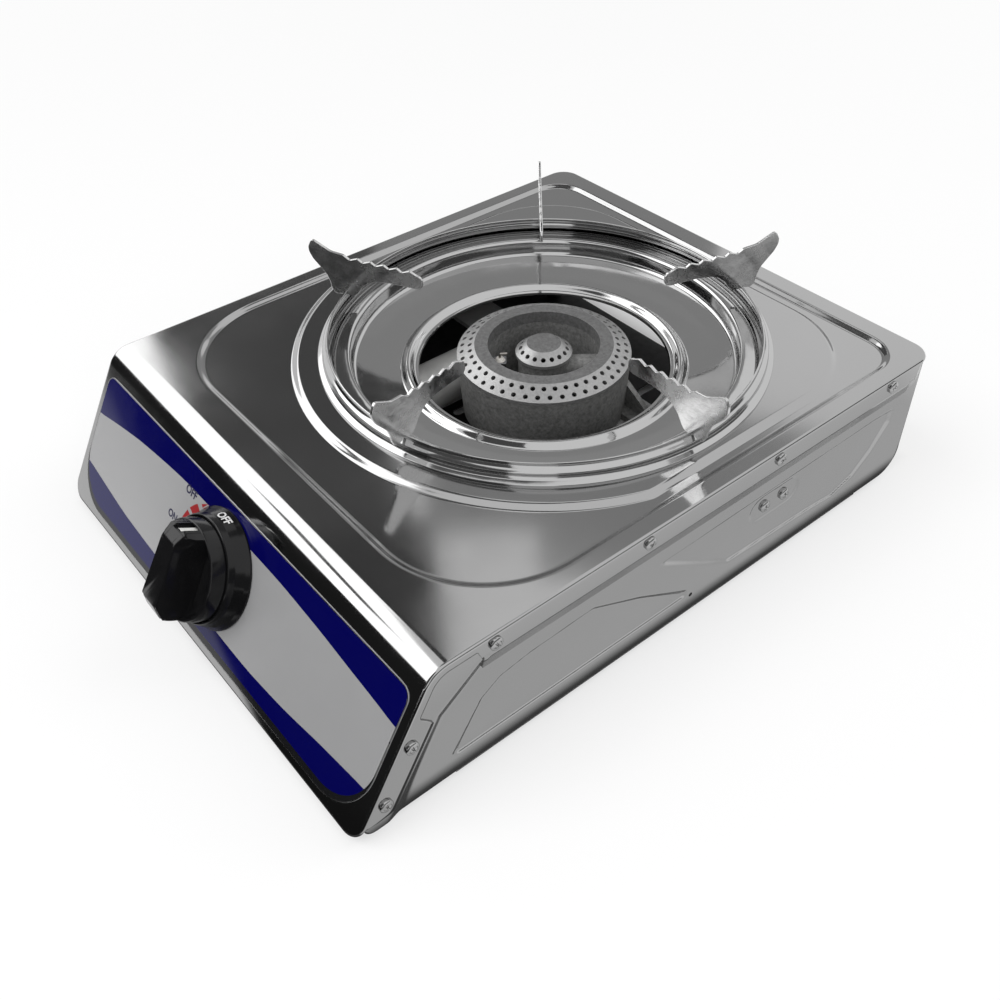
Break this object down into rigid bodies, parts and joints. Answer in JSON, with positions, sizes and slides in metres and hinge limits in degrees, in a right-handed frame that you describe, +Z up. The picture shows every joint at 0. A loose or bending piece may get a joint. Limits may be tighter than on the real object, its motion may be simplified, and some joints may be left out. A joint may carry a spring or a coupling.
{
  "type": "propane gas burner",
  "caption": "Tabletop gas stove: pressed steel body with a leaning front, push-and-turn knob, ring burner, drip pan and lift-off trivet with toothed arms.",
  "frame": {"origin": "on the table, under the middle of the outline", "axes": "+X to the right as seen by the user, +Y to the back, +Z up"},
  "size_m": [0.294, 0.411, 0.1195],
  "materials": {
    "shell_steel": "mirror polished stainless sheet",
    "panel_steel": "bright stainless sheet",
    "inner_steel": "plain rolled sheet",
    "base_paint": "dark coating, satin",
    "pan_chrome": "bright plated",
    "trivet_chrome": "bright plated",
    "burner_iron": "rough as cast, matt",
    "tube_alloy": "satin",
    "brass": "plain turned",
    "valve_alloy": "as cast",
    "knob_black": "gloss black",
    "label_face": "printed plate, gloss",
    "spark_plastic": "satin",
    "ceramic_white": "glazed ceramic",
    "lead_rubber": "silicone sleeve",
    "foot_rubber": "matt black",
    "screw_steel": "bright"
  },
  "bodies": {
    "chassis": {"top_shell": "shell_steel", "left_side_panel": "panel_steel", "right_side_panel": "panel_steel", "rear_panel": "inner_steel", "bottom_plate": "base_paint", "burner_bridge": "inner_steel", "burner_body": "burner_iron", "mixing_tube": "tube_alloy", "injector_nozzle": "brass", "injector_pipe": "inner_steel", "gas_valve": "valve_alloy", "valve_bracket": "inner_steel", "spark_unit": "spark_plastic", "knob_bezel": "knob_black", "label_plate": "label_face", "gas_inlet_pipe": "inner_steel", "hose_nozzle": "brass", "ignition_electrode": "ceramic_white", "spark_lead": "lead_rubber", "foot_front_left": "foot_rubber", "foot_front_right": "foot_rubber", "foot_back_left": "foot_rubber", "foot_back_right": "foot_rubber", "flange_screws": "screw_steel", "bridge_screws": "screw_steel", "base_screws": "screw_steel", "rear_screws": "screw_steel", "burner_screws": "screw_steel", "valve_screws": "screw_steel"},
    "push_body": {"push_collar": "brass"},
    "knob_body": {"knob": "knob_black", "valve_stem": "brass"},
    "pan_body": {"drip_pan": "pan_chrome"},
    "trivet_body": {"trivet_ring": "trivet_chrome", "trivet_arm_1": "trivet_chrome", "trivet_arm_2": "trivet_chrome", "trivet_arm_3": "trivet_chrome", "trivet_arm_4": "trivet_chrome", "trivet_arm_5": "trivet_chrome"},
    "ring_cap_body": {"burner_ring_cap": "burner_iron"},
    "centre_cap_body": {"burner_centre_cap": "burner_iron"},
    "shutter_body": {"air_shutter": "inner_steel"}
  },
  "joints": [
    {"name": "knob_push", "type": "slide", "parent": "chassis", "child": "push_body", "axis": [0, 0.859, -0.512], "range_m": [0, 0.0035], "stiffness_N_per_m": 600, "springref_m": -0.003},
    {"name": "knob_turn", "type": "hinge", "parent": "push_body", "child": "knob_body", "pos_m": [0, -0.17073, 0.04097], "axis": [0, -0.859, 0.512], "range_deg": [0, 90]},
    {"name": "pan_lift", "type": "slide", "parent": "chassis", "child": "pan_body", "axis": [0, 0, 1], "range_m": [0, 0.06]},
    {"name": "trivet_lift", "type": "slide", "parent": "pan_body", "child": "trivet_body", "axis": [0, 0, 1], "range_m": [0, 0.06]},
    {"name": "ring_cap_lift", "type": "slide", "parent": "chassis", "child": "ring_cap_body", "axis": [0, 0, 1], "range_m": [0, 0.05]},
    {"name": "centre_cap_lift", "type": "slide", "parent": "chassis", "child": "centre_cap_body", "axis": [0, 0, 1], "range_m": [0, 0.03]},
    {"name": "air_shutter_turn", "type": "hinge", "parent": "chassis", "child": "shutter_body", "pos_m": [-0.0635, -0.10566, 0.02868], "axis": [0, 1, 0], "range_deg": [0, 60]}
  ]
}
